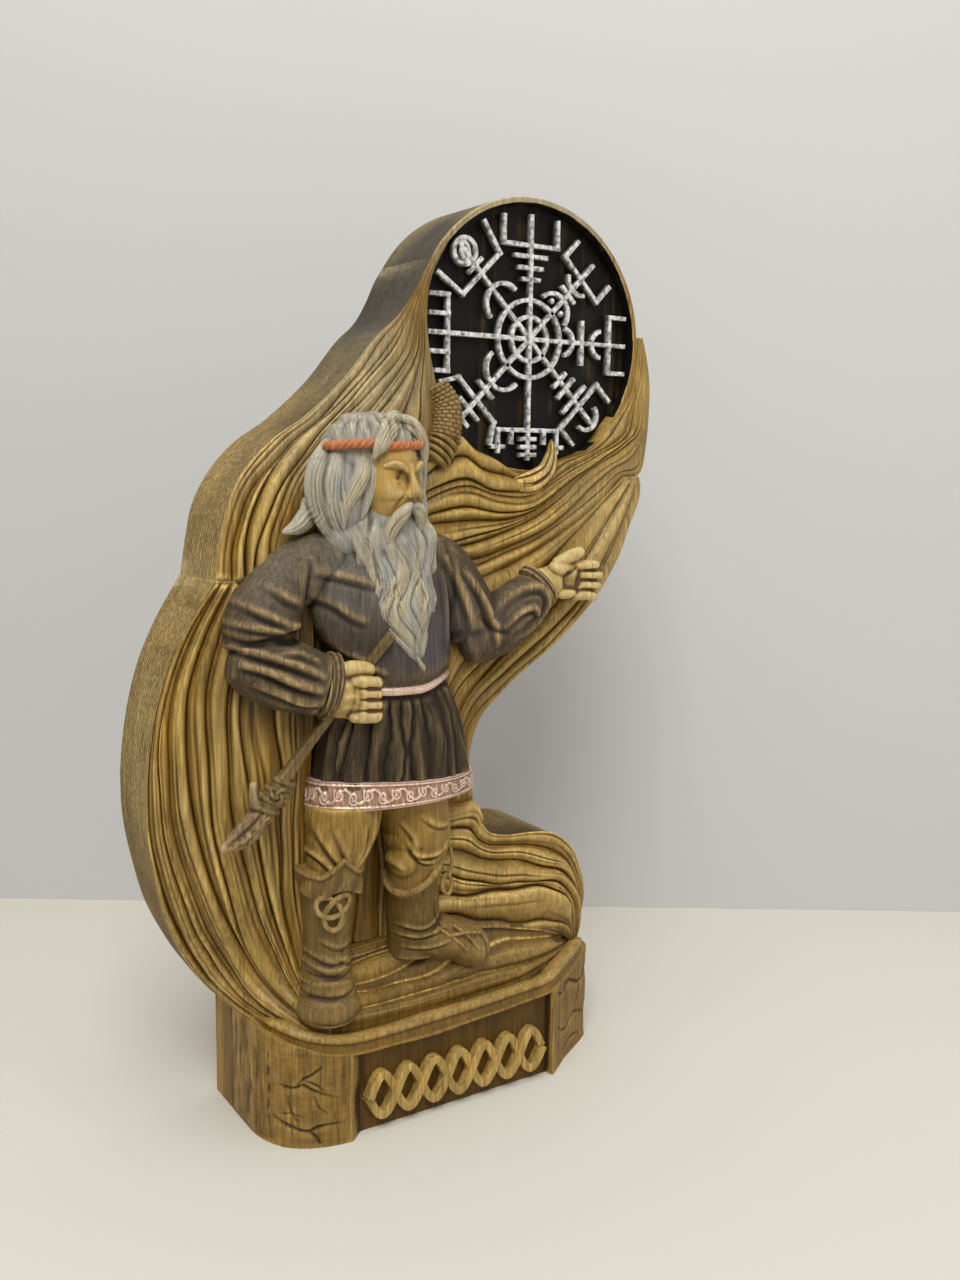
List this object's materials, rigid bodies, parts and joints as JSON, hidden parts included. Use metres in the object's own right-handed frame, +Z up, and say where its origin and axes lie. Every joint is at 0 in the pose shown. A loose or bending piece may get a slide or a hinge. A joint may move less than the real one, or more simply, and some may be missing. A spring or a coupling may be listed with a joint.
{
  "type": "carved wooden figurine",
  "caption": "Carved wooden statuette of a long-bearded man with an axe, standing before sweeping folds of cloth that hold a compass disc, on a block plinth",
  "frame": {"origin": "middle of the footprint of the whole figurine, at table level, under the plinth", "axes": "+X to the viewer's right, -Y to the front, +Z up"},
  "size_m": [0.2028, 0.0584, 0.33],
  "materials": {
    "carved_cloth": "carved ash wood, light stain and satin varnish",
    "block_side": "sawn and sanded ash wood, darker stain",
    "tunic_stain": "carved wood, dark brown stain rubbed back on the folds",
    "boot_stain": "carved wood, brown stain, satin",
    "hair_paint": "carved wood, pale grey blue wash",
    "bare_wood": "carved wood, clear satin varnish",
    "blackened_field": "carved wood, blackened",
    "silver_paint": "raised wood, silver paint",
    "rose_trim": "carved wood, pale rose metallic paint",
    "red_band": "carved wood, dull red paint"
  },
  "bodies": {
    "root": {"axe_haft": "carved_cloth", "axe_binding": "boot_stain", "axe_head": "bare_wood", "headband": "red_band", "boot_knot": "boot_stain", "belt": "rose_trim", "hem_band": "rose_trim", "left_hand": "bare_wood", "right_hand": "bare_wood", "left_cuff": "tunic_stain", "right_cuff": "tunic_stain", "moustache": "hair_paint", "beard": "hair_paint", "head": "bare_wood", "hair": "hair_paint", "left_forearm_sleeve": "tunic_stain", "left_upper_sleeve": "tunic_stain", "right_forearm_sleeve": "tunic_stain", "right_upper_sleeve": "tunic_stain", "tunic_skirt": "tunic_stain", "tunic_torso": "tunic_stain", "left_boot": "boot_stain", "right_boot": "boot_stain", "left_trouser": "carved_cloth", "right_trouser": "carved_cloth", "braid_strap": "boot_stain", "flame_tongue": "carved_cloth", "plinth": "block_side", "plinth_band": "carved_cloth", "hem_roll": "carved_cloth", "left_wave": "carved_cloth", "lower_right_wave": "carved_cloth", "right_wave": "carved_cloth", "flame_wave": "carved_cloth", "upper_left_wave": "carved_cloth", "ground_cloth": "carved_cloth", "back_folds": "carved_cloth", "disc_block": "block_side", "disc_field": "blackened_field", "compass_staves": "silver_paint"}
  },
  "joints": []
}
